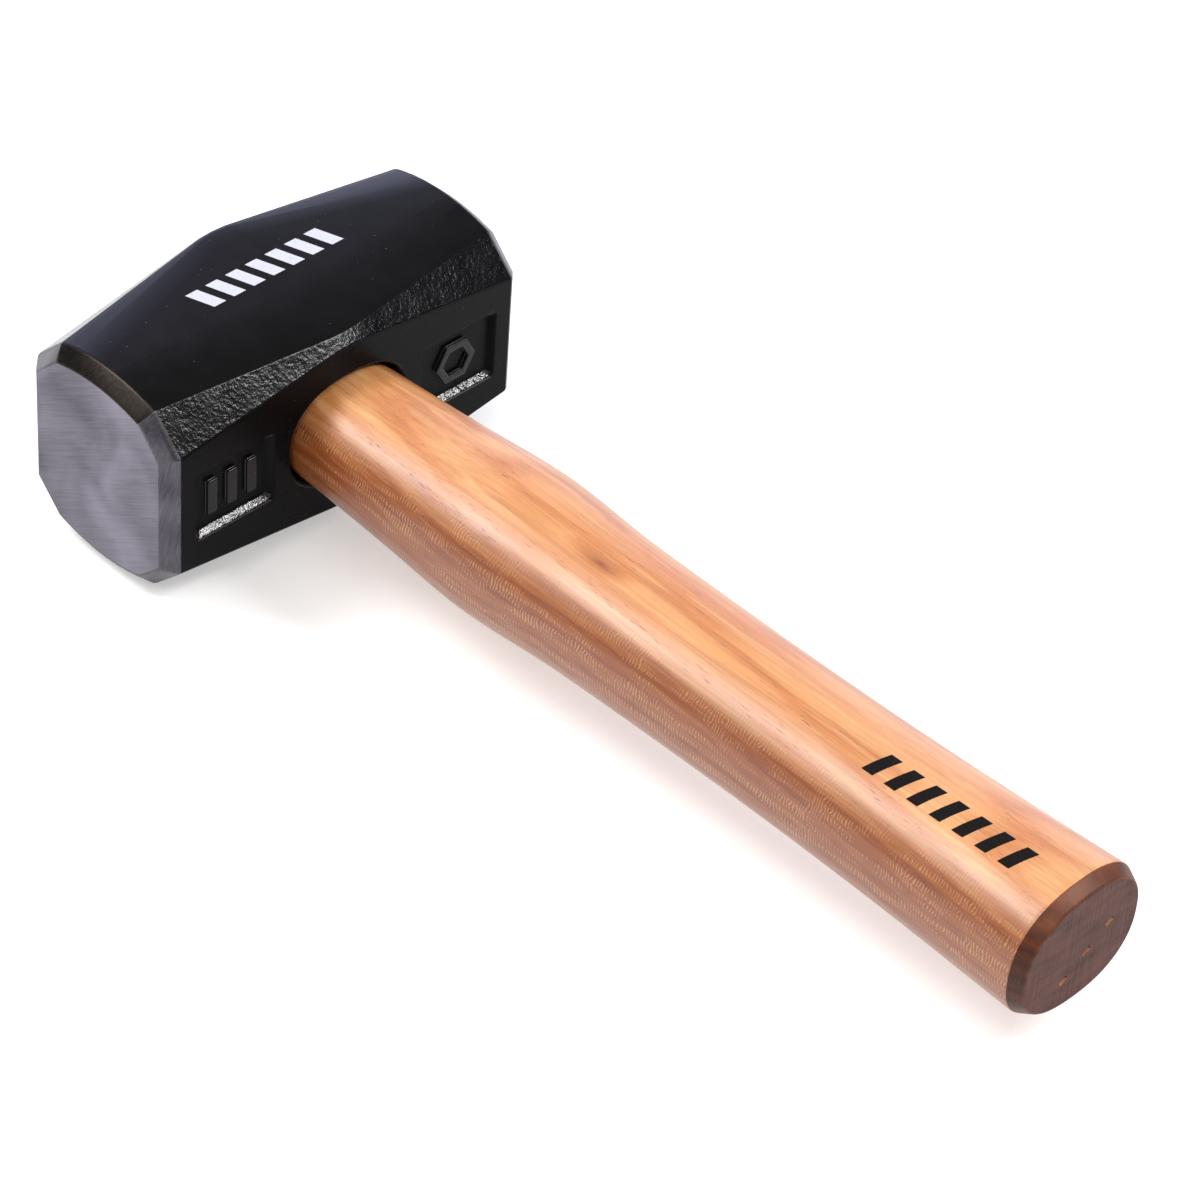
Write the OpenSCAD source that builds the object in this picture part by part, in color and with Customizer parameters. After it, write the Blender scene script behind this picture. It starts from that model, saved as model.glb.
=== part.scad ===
// Club hammer: forged two-faced head on a turned timber handle, wedged in its eye.
// +X runs along the handle from the head to its butt, +Y along the strike axis,
// +Z up through the cheeks. The origin is under the eye, where the head lies on a bench.

/* [Head] */
// Distance between the outer edges of the two face bevels, along the strike axis
bevel_span = 104; // [90:1:120]
// Height and width of the ground bevel round each striking face
face_bevel = 3.3; // [2:0.1:5]
// Size of the head along the handle
head_h = 50.5; // [44:0.5:58]
// Size of the head across its crowned cheeks
head_w = 57.3; // [50:0.1:64]
// Radius of the crown of each cheek at the faces
cheek_r = 53; // [45:1:120]
// Radius of the flatter crown round the eye, on the handle side
eye_r = 118; // [60:1:200]
// Radius of the nearly flat cheek round the eye, towards the top of the head
top_r = 700; // [200:10:1000]
// Width of the corner chamfers at the faces, along the handle
corner_w = 8.9; // [6:0.1:11]
// Depth of the corner chamfers at the middle of the head, on the handle side
corner_mid = 2.5; // [0.5:0.1:4]
// Depth of the corner chamfers at the middle of the head, towards its top
corner_top = 0.7; // [0.5:0.1:4]

/* [Panels] */
// Length of each recessed panel, along the strike axis
panel_l = 24.2; // [16:0.1:26]
// Width of each recessed panel, across the cheeks
panel_w = 20; // [14:0.1:24]
// Distance from the eye's axis to the middle of a panel
panel_y = 35.2; // [34:0.1:37]
// Depth of the panels
panel_d = 2; // [1:0.1:3]
// Height of the forged marks above a panel's floor
mark_h = 1.2; // [0.5:0.1:2]

/* [Eye] */
// Half length of the eye's waist, along the strike axis
eye_y = 15.6; // [13:0.1:17]
// Half width of the eye's waist, across the cheeks
eye_z = 12.5; // [10:0.1:13]
// How much the eye opens on each side at the top of the head, for the wedges
eye_flare = 1.5; // [0.5:0.1:2.5]
// Gap round the handle at the mouth of the eye
mouth_gap = 1; // [0.5:0.1:2]
// Distance from the head's middle to the narrow end of that gap
seat_x = 14; // [8:1:20]

/* [Handle] */
// Length from the head's middle to the butt
reach = 254; // [220:1:320]
// Half width at the neck, along the strike axis
neck_a = 16.9; // [16:0.1:18]
// Half width at the shoulder swell
swell_a = 19.8; // [18:0.1:22]
// Half width at the waist of the grip
waist_a = 17.6; // [15:0.1:19]
// Half width at the butt
butt_a = 19.9; // [17:0.1:24]
// Thickness of the neck, as a share of its width
neck_ratio = 0.82; // [0.75:0.01:0.9]
// Thickness of the grip, as a share of its width
grip_ratio = 0.88; // [0.8:0.01:0.95]
// Squareness of the handle's section: 2 is an ellipse
section_n = 2.33; // [2:0.01:3]
// Lean of the butt along the strike axis
lean_y = 1.2; // [-3:0.1:3]
// Lean of the butt towards the upper cheek
lean_z = 2.2; // [-3:0.1:3]
// Length of the chamfer at the butt
butt_chamfer_l = 3.7; // [2:0.1:6]
// Depth of the chamfer at the butt
butt_chamfer_d = 2; // [1:0.1:3]

/* [Wedges] */
// How far the wedges and the tenon stop short of the head's top
top_recess = 0.5; // [0.2:0.1:1]
// Depth of the kerf and of the timber wedge in it
kerf_depth = 32; // [24:1:36]
// Thickness of the timber wedge at the top
timber_t = 4.6; // [3:0.1:6]
// Depth of the steel wedges
steel_depth = 20; // [14:1:24]
// Width of the steel wedges, across the cheeks
steel_w = 17; // [12:0.5:19]
// Thickness of the steel wedges at the top
steel_t = 3.4; // [2.5:0.1:4.5]
// Distance from the eye's axis to each steel wedge
steel_y = 7.5; // [6:0.5:9]

/* [Hidden] */
mid_z = head_w / 2;
half_h = head_h / 2;
half_span = bevel_span / 2;
half_l = half_span + face_bevel;
eps = 0.01;
big = 400;
sides = 40;
crown_steps = 12;
rings = 44;
butt_run = reach - half_h;
top_x = -half_h + top_recess;
neck_b = neck_a * neck_ratio;
seat_grow = 0.6;
wedge_tip = 0.8;
barbs = 4;
barb_d = 0.35;
slot_l = 2.4;
slot_w = 0.9;
slot_d = 1.5;
slot_pitch = 8;
slot_turn = 35;
slot_y = 3.1;
slot_z = -0.4;
panel_draft = 1.4;
mark_x = half_h - 2 * panel_d + mark_h;
bar_l = 10;
bar_w = 3;
bar_pitch = 6;
ring_r = 6.5;
ring_t = 2.5;

// Height of a crown of radius r above the strike axis, at a distance x from the head's middle.
// A bevel draws the crown in by d.
function crown(x, r, d = 0) = mid_z - r + sqrt((r - d) * (r - d) - x * x);

// Where a corner chamfer, on which x + z is w, meets that crown
function crown_edge(w, r, d = 0) =
    let (k = w - mid_z + r)
    (k - sqrt(2 * (r - d) * (r - d) - k * k)) / 2;

// One section of the forged block at y. It has a chamfer line and a crown radius on the
// handle side, w and r, and others towards the top, w2 and r2. A bevel draws it in by d.
function block_section(y, w, r, w2, r2, d = 0) =
    let (
        h = half_h - d,
        from = crown_edge(w, r, d),
        to = -crown_edge(w2, r2, d),
        upper = concat(
            [[h, w - h]],
            [
                for (i = [0:crown_steps])
                    let (x = from + (to - from) * i / crown_steps)
                    [x, crown(x, x > 0 ? r : r2, d)]
            ],
            [[-h, w2 - h]]
        ),
        lower = [for (i = [len(upper) - 1:-1:0]) [upper[i][0], -upper[i][1]]]
    )
    [for (q = concat(upper, lower)) [q[0], y, mid_z + q[1]]];

// Handle half widths: where they are, as a share of the run from the head, and how wide
WIDTHS = [
    [0, neck_a],
    [0.12, neck_a + 0.44 * (swell_a - neck_a)],
    [0.25, swell_a],
    [0.375, waist_a + 0.3 * (swell_a - waist_a)],
    [0.6, waist_a],
    [0.8, waist_a + 0.25 * (butt_a - waist_a)],
    [1, butt_a]
];

// Slope of the width curve at knot i, from the knots on either side of it
function slope(k, i) =
    let (before = k[max(i - 1, 0)], after = k[min(i + 1, len(k) - 1)])
    (after[1] - before[1]) / (after[0] - before[0]);

// Smooth curve through the knots k, at t from 0 to 1
function curve(k, t, i = 0) =
    i < len(k) - 2 && t > k[i + 1][0] ? curve(k, t, i + 1)
    : let (
        w = k[i + 1][0] - k[i][0],
        u = (t - k[i][0]) / w,
        v = 1 - u
    )
    k[i][1] * v * v * (1 + 2 * u) + k[i + 1][1] * u * u * (1 + 2 * v)
    + slope(k, i) * w * u * v * v - slope(k, i + 1) * w * u * u * v;

// One oval section at x, with half sizes a and b, centred at [y, z]
function oval(x, a, b, y = 0, z = mid_z) = [
    for (i = [0:sides - 1])
        let (t = (i + 0.5) * 360 / sides, c = cos(t), s = sin(t), e = 2 / section_n)
        [x, y + a * sign(c) * pow(abs(c), e), z + b * sign(s) * pow(abs(s), e)]
];

// Oval section of the eye at x: a waist in the middle, a flared top, and a mouth that
// clears the neck by gap. With no gap it is the section of the tenon that fills the eye.
function eye_oval(x, gap = 0) = let (
        a = [[-half_h, eye_y + eye_flare / 2], [0, eye_y], [seat_x, eye_y + seat_grow], [half_h, neck_a + gap]],
        b = [[-half_h, eye_z + eye_flare], [0, eye_z], [seat_x, eye_z + seat_grow], [half_h, neck_b + gap]]
    )
    oval(x, lookup(x, a), lookup(x, b));

// Oval section of the grip at t, from 0 at the head to 1 at the butt, drawn in by d
function grip_oval(t, d = 0) = let (
        a = curve(WIDTHS, t),
        ratio = neck_ratio + (grip_ratio - neck_ratio) * min(1, 2 * t)
    )
    oval(half_h + t * butt_run, a - d, a * ratio - d, lean_y * t, mid_z + lean_z * t);

// Sections of the tenon, from its end near the head's top to where the mouth opens
TENON = [for (x = [top_x, 0, seat_x]) eye_oval(x)];

// Closed skin over a list of sections
module skin(sections) {
    n = len(sections);
    m = len(sections[0]);
    wall = [
        for (j = [0:n - 2], i = [0:m - 1])
            let (k = (i + 1) % m)
            [j * m + i, (j + 1) * m + i, (j + 1) * m + k, j * m + k]
    ];
    start = [for (i = [0:m - 1]) i];
    end = [for (i = [m - 1:-1:0]) (n - 1) * m + i];
    polyhedron(points = [for (s = sections) each s], faces = concat([start], wall, [end]), convexity = 4);
}

// Forged block, fullest round the eye, with the ground bevels of its two faces
module block() {
    wide = half_h - corner_w + crown(half_h - corner_w, cheek_r);
    drawn = wide - sqrt(2) * face_bevel;
    narrow = half_h + crown(half_h, eye_r) - corner_mid;
    narrow_top = half_h + crown(half_h, top_r) - corner_top;
    skin([
        block_section(half_l, drawn, cheek_r, drawn, cheek_r, face_bevel),
        block_section(half_span, wide, cheek_r, wide, cheek_r),
        block_section(0, narrow, eye_r, narrow_top, top_r),
        block_section(-half_span, wide, cheek_r, wide, cheek_r),
        block_section(-half_l, drawn, cheek_r, drawn, cheek_r, face_bevel)
    ]);
}

// Recessed panel with drafted walls, cut into the side of the head that faces +X
module panel() {
    // Outline of the recess between its two drafted walls, taken past the head's surface
    function between(half) = [
        [half_h - panel_d, -half + panel_draft],
        [half_h + panel_d, -half - panel_draft],
        [half_h + panel_d, half + panel_draft],
        [half_h - panel_d, half - panel_draft]
    ];
    intersection() {
        translate([0, 0, mid_z - panel_w])
            linear_extrude(2 * panel_w)
                polygon(between(panel_l / 2));
        translate([0, panel_l, mid_z])
            rotate([90, 0, 0])
                linear_extrude(2 * panel_l)
                    polygon(between(panel_w / 2));
    }
}

// Three raised bars on the floor of the near panel
module bar_mark() {
    for (k = [-1, 0, 1])
        translate([mark_x, k * bar_pitch - bar_w / 2, mid_z - bar_l / 2])
            cube([panel_d, bar_w, bar_l]);
}

// Raised six-sided ring on the floor of the far panel
module ring_mark() {
    translate([mark_x, 0, mid_z])
        rotate([0, 90, 0])
            linear_extrude(panel_d)
                difference() {
                    circle(r = ring_r, $fn = 6);
                    circle(r = ring_r - ring_t, $fn = 6);
                }
}

module head() {
    color("#1b1c20") {
        difference() {
            block();
            skin([for (x = [-half_h - eps, 0, seat_x, half_h + eps]) eye_oval(x, mouth_gap)]);
            for (side = [0, 1], sy = [-1, 1])
                mirror([side, 0, 0])
                    translate([0, sy * panel_y, 0])
                        panel();
        }
        translate([0, -panel_y, 0])
            bar_mark();
        translate([0, panel_y, 0])
            ring_mark();
    }
}

// Wedge that lies in the kerf, wide side along the strike axis
module kerf_wedge() {
    translate([0, big / 2, mid_z])
        rotate([90, 0, 0])
            linear_extrude(big)
                polygon([
                    [-half_h, -timber_t / 2],
                    [top_x + kerf_depth, -wedge_tip / 2],
                    [top_x + kerf_depth, wedge_tip / 2],
                    [-half_h, timber_t / 2]
                ]);
}

// Barbed steel wedge: its long side lies across the cheeks
module steel_wedge(y) {
    step = steel_depth / barbs;
    function thick(d) = (steel_t + (wedge_tip - steel_t) * d / steel_depth) / 2;
    flank = [
        for (k = [0:barbs - 1])
            each [
                [top_x + k * step, thick(k * step) - (k == 0 ? 0 : barb_d)],
                [top_x + (k + 1) * step, thick((k + 1) * step)]
            ]
    ];
    other = [for (k = [len(flank) - 1:-1:0]) [flank[k][0], -flank[k][1]]];
    translate([0, y, mid_z - steel_w / 2])
        linear_extrude(steel_w)
            polygon(concat(flank, other));
}

module steel_wedges() {
    steel_wedge(-steel_y);
    steel_wedge(steel_y);
}

module handle() {
    chamfer_t = 1 - butt_chamfer_l / butt_run;
    grip_rings = [for (k = [0:rings - 1]) grip_oval(k * chamfer_t / (rings - 1))];
    color("#c98c52")
        difference() {
            skin(concat(TENON, grip_rings, [grip_oval(1, butt_chamfer_d)]));
            kerf_wedge();
            steel_wedges();
            for (k = [-1, 0, 1])
                translate([reach, slot_y, mid_z + slot_z])
                    rotate([slot_turn, 0, 0])
                        translate([-slot_d, k * slot_pitch - slot_l / 2, -slot_w / 2])
                            cube([2 * slot_d, slot_l, slot_w]);
        }
}

module timber_wedge() {
    color("#e0c08a")
        difference() {
            intersection() {
                skin(TENON);
                kerf_wedge();
            }
            steel_wedges();
        }
}

module steel_wedge_near() {
    color("#8d9095")
        steel_wedge(-steel_y);
}

module steel_wedge_far() {
    color("#8d9095")
        steel_wedge(steel_y);
}

head();
handle();
timber_wedge();
steel_wedge_near();
steel_wedge_far();
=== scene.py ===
# %% [markdown]
# # A club hammer, piece by piece
# A club hammer is a block of forged steel on a short timber handle. The CAD model gives the
# sizes, and this lesson gives every part the shape detail and the finish that the eye expects:
# a dipped black head with two bare ground faces, and a turned hickory handle under varnish.
# Pieces are modelled in millimetres about the middle of the head, because those are the numbers
# a toolmaker uses, and are scaled to metres when they become objects.

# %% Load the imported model
import math
import bmesh
import bpy
from mathutils import Matrix, Vector


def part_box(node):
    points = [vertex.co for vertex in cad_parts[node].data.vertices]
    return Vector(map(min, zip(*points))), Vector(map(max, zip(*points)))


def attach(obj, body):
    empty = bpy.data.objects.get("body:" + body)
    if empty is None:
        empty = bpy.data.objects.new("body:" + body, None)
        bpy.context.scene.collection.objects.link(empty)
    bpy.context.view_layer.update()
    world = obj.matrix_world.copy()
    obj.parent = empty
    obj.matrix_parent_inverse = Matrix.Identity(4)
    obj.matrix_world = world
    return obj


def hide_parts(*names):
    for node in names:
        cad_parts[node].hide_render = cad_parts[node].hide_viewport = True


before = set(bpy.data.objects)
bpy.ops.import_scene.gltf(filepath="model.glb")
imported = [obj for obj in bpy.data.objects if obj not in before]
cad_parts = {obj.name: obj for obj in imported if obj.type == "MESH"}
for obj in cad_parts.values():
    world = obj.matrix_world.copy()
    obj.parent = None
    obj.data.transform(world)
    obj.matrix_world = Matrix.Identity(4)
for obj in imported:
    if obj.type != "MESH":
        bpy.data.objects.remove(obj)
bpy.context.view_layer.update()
print("CAD nodes:", sorted(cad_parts))

# %% Sizes that the pieces share
MM = 0.001
head_lo, head_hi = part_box("head")
handle_lo, handle_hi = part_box("handle")
MID = (head_lo + head_hi) / 2
HALF_H = (head_hi.x - head_lo.x) / 2 / MM
HALF_L = (head_hi.y - head_lo.y) / 2 / MM
HALF_W = (head_hi.z - head_lo.z) / 2 / MM
REACH = handle_hi.x / MM
TENON_TOP = handle_lo.x / MM
print(f"head {2 * HALF_L:.1f} x {2 * HALF_H:.1f} x {2 * HALF_W:.1f} mm, butt at {REACH:.1f} mm")


# %% [markdown]
# ## Small tools
# A mesh under construction in Blender is a bmesh. Two habits save trouble: build it in round
# numbers and scale it once at the end, and recalculate the normals after the last cut, so that
# every face looks outwards. Boolean cuts are modifiers, and baking them into the mesh keeps
# the finished object simple, with its place in its mesh and its own transform left alone.

# %% Turn a bmesh into an object
def to_object(bm, name, finishes=()):
    bmesh.ops.scale(bm, vec=(MM, MM, MM), verts=bm.verts)
    bmesh.ops.translate(bm, vec=MID, verts=bm.verts)
    bmesh.ops.recalc_face_normals(bm, faces=bm.faces)
    mesh = bpy.data.meshes.new(name)
    bm.to_mesh(mesh)
    bm.free()
    for finish in finishes:
        mesh.materials.append(finish)
    obj = bpy.data.objects.new(name, mesh)
    bpy.context.scene.collection.objects.link(obj)
    return obj


# %% Bake modifiers into the mesh, and cut one object with others
def bake(obj):
    graph = bpy.context.evaluated_depsgraph_get()
    mesh = bpy.data.meshes.new_from_object(obj.evaluated_get(graph))
    obj.modifiers.clear()
    obj.data = mesh


def cut(obj, *cutters):
    for cutter in cutters:
        knife = obj.modifiers.new("cut", "BOOLEAN")
        knife.operation = "DIFFERENCE"
        knife.solver = "EXACT"
        knife.object = cutter
        bake(obj)
        bpy.data.objects.remove(cutter)


# %% Loft a closed skin through oval sections
# The section is a circle pushed a little towards a rectangle, which is what a hand-shaped
# handle has. Each station says where its section is and how wide and thick it is.
SECTION_N = 2.33
SECTION_SIDES = 96


def loft(stations):
    bm = bmesh.new()
    ring = bmesh.ops.create_circle(bm, cap_ends=True, segments=SECTION_SIDES, radius=1.0)["verts"]
    for v in ring:
        across = math.copysign(abs(v.co.x) ** (2 / SECTION_N), v.co.x)
        up = math.copysign(abs(v.co.y) ** (2 / SECTION_N), v.co.y)
        v.co = (0, across, up)
    edges = bm.edges[:]
    placed = Matrix.Identity(4)
    for x, a, b, y, z in stations:
        wanted = Matrix.Translation((x, y, z)) @ Matrix.Diagonal((1, a, b, 1))
        if ring is None:
            made = bmesh.ops.extrude_edge_only(bm, edges=edges)["geom"]
            ring = [g for g in made if isinstance(g, bmesh.types.BMVert)]
            fresh = set(ring)
            lines = [g for g in made if isinstance(g, bmesh.types.BMEdge)]
            edges = [e for e in lines if set(e.verts) <= fresh]
        bmesh.ops.transform(bm, matrix=wanted @ placed.inverted(), verts=ring)
        placed = wanted
        ring = None
    bmesh.ops.contextual_create(bm, geom=edges)
    return bm


# %% [markdown]
# ## Materials
# Every finish below is procedural. Patterns read the object's own coordinates, turned into
# millimetres, so a grain or a grit can be given its real size. Two helpers are enough: one
# turns a screen colour into the linear light that shaders expect, and one adds a node. A node
# can be fed to another as it is, and then its first working output is used.

# %% Colour and node helpers
SHARE, UNDER, OVER = 0, 6, 7  # the sockets of a Mix node that mixes colours


def colour(code):
    channels = [int(code[i:i + 2], 16) / 255 for i in (1, 3, 5)]
    linear = [c / 12.92 if c <= 0.04045 else ((c + 0.055) / 1.055) ** 2.4 for c in channels]
    return (*linear, 1.0)


def add(mat, kind, feeds, **settings):
    node = mat.node_tree.nodes.new(kind)
    for key, value in settings.items():
        setattr(node, key, value)
    for key, value in feeds.items():
        if isinstance(value, bpy.types.Node):
            value = next(socket for socket in value.outputs if socket.enabled)
        if isinstance(value, bpy.types.NodeSocket):
            mat.node_tree.links.new(value, node.inputs[key])
        else:
            node.inputs[key].default_value = value
    return node


def new_material(name):
    mat = bpy.data.materials.new(name)
    mat.use_nodes = True
    mat.node_tree.nodes.clear()
    place = add(mat, "ShaderNodeTexCoord", {}).outputs["Object"]
    return mat, add(mat, "ShaderNodeMapping", {"Vector": place, "Scale": (1 / MM, 1 / MM, 1 / MM)})


def surface_out(mat, **feeds):
    named = {key.replace("_", " "): value for key, value in feeds.items()}
    add(mat, "ShaderNodeOutputMaterial", {"Surface": add(mat, "ShaderNodeBsdfPrincipled", named)})


print("black enamel in linear light:", [round(c, 5) for c in colour("#070709")[:3]])


# %% [markdown]
# ### Dipped enamel
# The head was dipped in black enamel and hung to dry. On the flat cheeks the film levels out
# and mirrors the room; over the scaly forged corners it stays pebbled, like orange peel.
# Dust that settled in the wet film shows as tiny pale specks.

# %% Enamel, levelled or pebbled
SAG_MM = 9
DUST_MM = 2.2
DUSTY_PATCH_MM = 14
HAZE_MM = 6


def enamel(name, pebble_mm, pebble_height, gloss, shine):
    mat, at = new_material(name)
    pebble = add(mat, "ShaderNodeTexNoise", {
        "Vector": at, "Scale": 1 / pebble_mm, "Detail": 3.0, "Roughness": 0.55,
    })
    sag = add(mat, "ShaderNodeTexNoise", {"Vector": at, "Scale": 1 / SAG_MM, "Detail": 1.0})
    height = add(mat, "ShaderNodeMath", {0: sag, 1: 1.5, 2: pebble}, operation="MULTIPLY_ADD")
    bump = add(mat, "ShaderNodeBump", {
        "Height": height, "Strength": 1.0, "Distance": pebble_height * MM,
    })
    dust = add(mat, "ShaderNodeTexVoronoi", {"Vector": at, "Scale": 1 / DUST_MM})
    speck = add(mat, "ShaderNodeMapRange", {
        "Value": dust, "From Min": 0.035, "From Max": 0.06, "To Min": 1.0, "To Max": 0.0,
    })
    patch = add(mat, "ShaderNodeTexNoise", {
        "Vector": at, "Scale": 1 / DUSTY_PATCH_MM, "Detail": 2.0,
    })
    some = add(mat, "ShaderNodeMapRange", {"Value": patch, "From Min": 0.48, "From Max": 0.62})
    dusty = add(mat, "ShaderNodeMath", {0: speck, 1: some}, operation="MULTIPLY")
    tone = add(mat, "ShaderNodeMix", {
        SHARE: dusty, UNDER: colour("#070709"), OVER: colour("#6e6a68"),
    }, data_type="RGBA")
    haze = add(mat, "ShaderNodeTexNoise", {"Vector": at, "Scale": 1 / HAZE_MM, "Detail": 4.0})
    rough = add(mat, "ShaderNodeMapRange", {
        "Value": haze, "From Min": 0.3, "From Max": 0.7, "To Min": gloss, "To Max": gloss + 0.08,
    })
    surface_out(mat, Base_Color=tone, Roughness=rough, Specular_IOR_Level=shine, Normal=bump)
    return mat


# %% [markdown]
# ### Ground steel
# The faces are surface ground with a coarse belt: bare, bright steel that breaks up the
# reflection into fine parallel lines. The belt rides up and down by hundredths of a
# millimetre, which bends the soft reflections into broad patches. The lines are drawn
# coarser than real grit leaves them, so that they show.

# %% Steel, ground along one direction
LINE_LENGTH_MM = 14
BELT_WAVE_MM = 26
STAIN_MM = 19


def ground_steel(name, tones, turn, line_mm, depth, gloss):
    dark, light = (colour(tone) for tone in tones)
    mat, at = new_material(name)
    turned = add(mat, "ShaderNodeMapping", {
        "Vector": at, "Rotation": tuple(math.radians(a) for a in turn),
    })
    lines = add(mat, "ShaderNodeMapping", {
        "Vector": turned, "Scale": (1 / LINE_LENGTH_MM, 1, 1 / line_mm),
    })
    scratch = add(mat, "ShaderNodeTexNoise", {
        "Vector": lines, "Scale": 1.0, "Detail": 4.0, "Roughness": 0.65,
    })
    wave = add(mat, "ShaderNodeTexNoise", {"Vector": at, "Scale": 1 / BELT_WAVE_MM, "Detail": 1.0})
    height = add(mat, "ShaderNodeMath", {0: wave, 1: 16.0, 2: scratch}, operation="MULTIPLY_ADD")
    bump = add(mat, "ShaderNodeBump", {"Height": height, "Strength": 1.0, "Distance": depth * MM})
    stain = add(mat, "ShaderNodeTexNoise", {
        "Vector": at, "Scale": 1 / STAIN_MM, "Detail": 1.5, "Distortion": 0.6,
    })
    both = add(mat, "ShaderNodeMath", {0: stain, 1: 1.4, 2: scratch}, operation="MULTIPLY_ADD")
    share = add(mat, "ShaderNodeMapRange", {"Value": both, "From Min": 0.8, "From Max": 1.6})
    shade = add(mat, "ShaderNodeMix", {SHARE: share, UNDER: dark, OVER: light}, data_type="RGBA")
    rough = add(mat, "ShaderNodeMapRange", {
        "Value": scratch, "From Min": 0.3, "From Max": 0.7,
        "To Min": gloss - 0.06, "To Max": gloss + 0.08,
    })
    surface_out(mat, Base_Color=shade, Metallic=1.0, Roughness=rough, Normal=bump)
    return mat


# %% [markdown]
# ### Hickory
# Hickory is straight and coarse. This billet was sawn so that its growth layers lie flat under
# the top of the grip, where a knife-thin slope turns them into long soft flames, while the
# narrow sides cut the layers edge on and are rippled with short pale rays.
# A solid texture gives all of that at once, because it is computed inside the wood: height
# through the layers sets the tone, and everything is stretched many times along the grip.
# One small knot pushes the layers up round it. The narrow sides are also darkened with a
# painted shade, a brown multiplied over every face that turns sideways.

# %% The growth layers, and every figure that runs along them
GRAIN_TILT = (math.radians(9), math.radians(-1.3), 0)
FIGURES = {
    # mm along, across and through the layers, and detail
    "bend": (150, 26, 26, 1.0),
    "wave": (45, 4, 5, 2.0),
    "fibre": (34, 0.6, 0.6, 4.0),
    "streak": (150, 5, 3, 3.0),
    "pale streak": (90, 2.2, 2.2, 3.0),
    "pore": (5, 0.35, 0.35, 2.0),
    "ray patch": (14, 1.6, 1.6, 3.0),
}
LAYER_MM = 1.9
KNOT = (112, -3, 45)
KNOT_SIZE = (13, 4.5, 6)


def growth_layers(mat, at):
    tilted = add(mat, "ShaderNodeMapping", {"Vector": at, "Rotation": GRAIN_TILT})
    figures = {}
    for figure, (length, width, depth, detail) in FIGURES.items():
        sized = add(mat, "ShaderNodeMapping", {
            "Vector": tilted, "Scale": (1 / length, 1 / width, 1 / depth),
        })
        figures[figure] = add(mat, "ShaderNodeTexNoise", {
            "Vector": sized, "Scale": 1.0, "Detail": detail, "Roughness": 0.6,
        })
    from_knot = add(mat, "ShaderNodeMapping", {
        "Vector": at,
        "Location": tuple(-place / size for place, size in zip(KNOT, KNOT_SIZE)),
        "Scale": tuple(1 / size for size in KNOT_SIZE),
    })
    knot_far = add(mat, "ShaderNodeVectorMath", {0: from_knot}, operation="LENGTH")
    knot = add(mat, "ShaderNodeMapRange", {"Value": knot_far, "From Min": 1.0, "From Max": 0.0})
    height = add(mat, "ShaderNodeSeparateXYZ", {"Vector": tilted}).outputs["Z"]
    for lift, lift_mm in ((figures["bend"], 12.0), (figures["wave"], 3.2), (knot, 3.0)):
        height = add(mat, "ShaderNodeMath", {
            0: lift, 1: lift_mm, 2: height,
        }, operation="MULTIPLY_ADD")
    to_and_fro = add(mat, "ShaderNodeMath", {0: height, 1: LAYER_MM}, operation="PINGPONG")
    layer = add(mat, "ShaderNodeMapRange", {"Value": to_and_fro, "From Min": 0.3, "From Max": 1.7})
    return figures, knot, layer


print("figures in the grain:", ", ".join(FIGURES))
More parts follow.
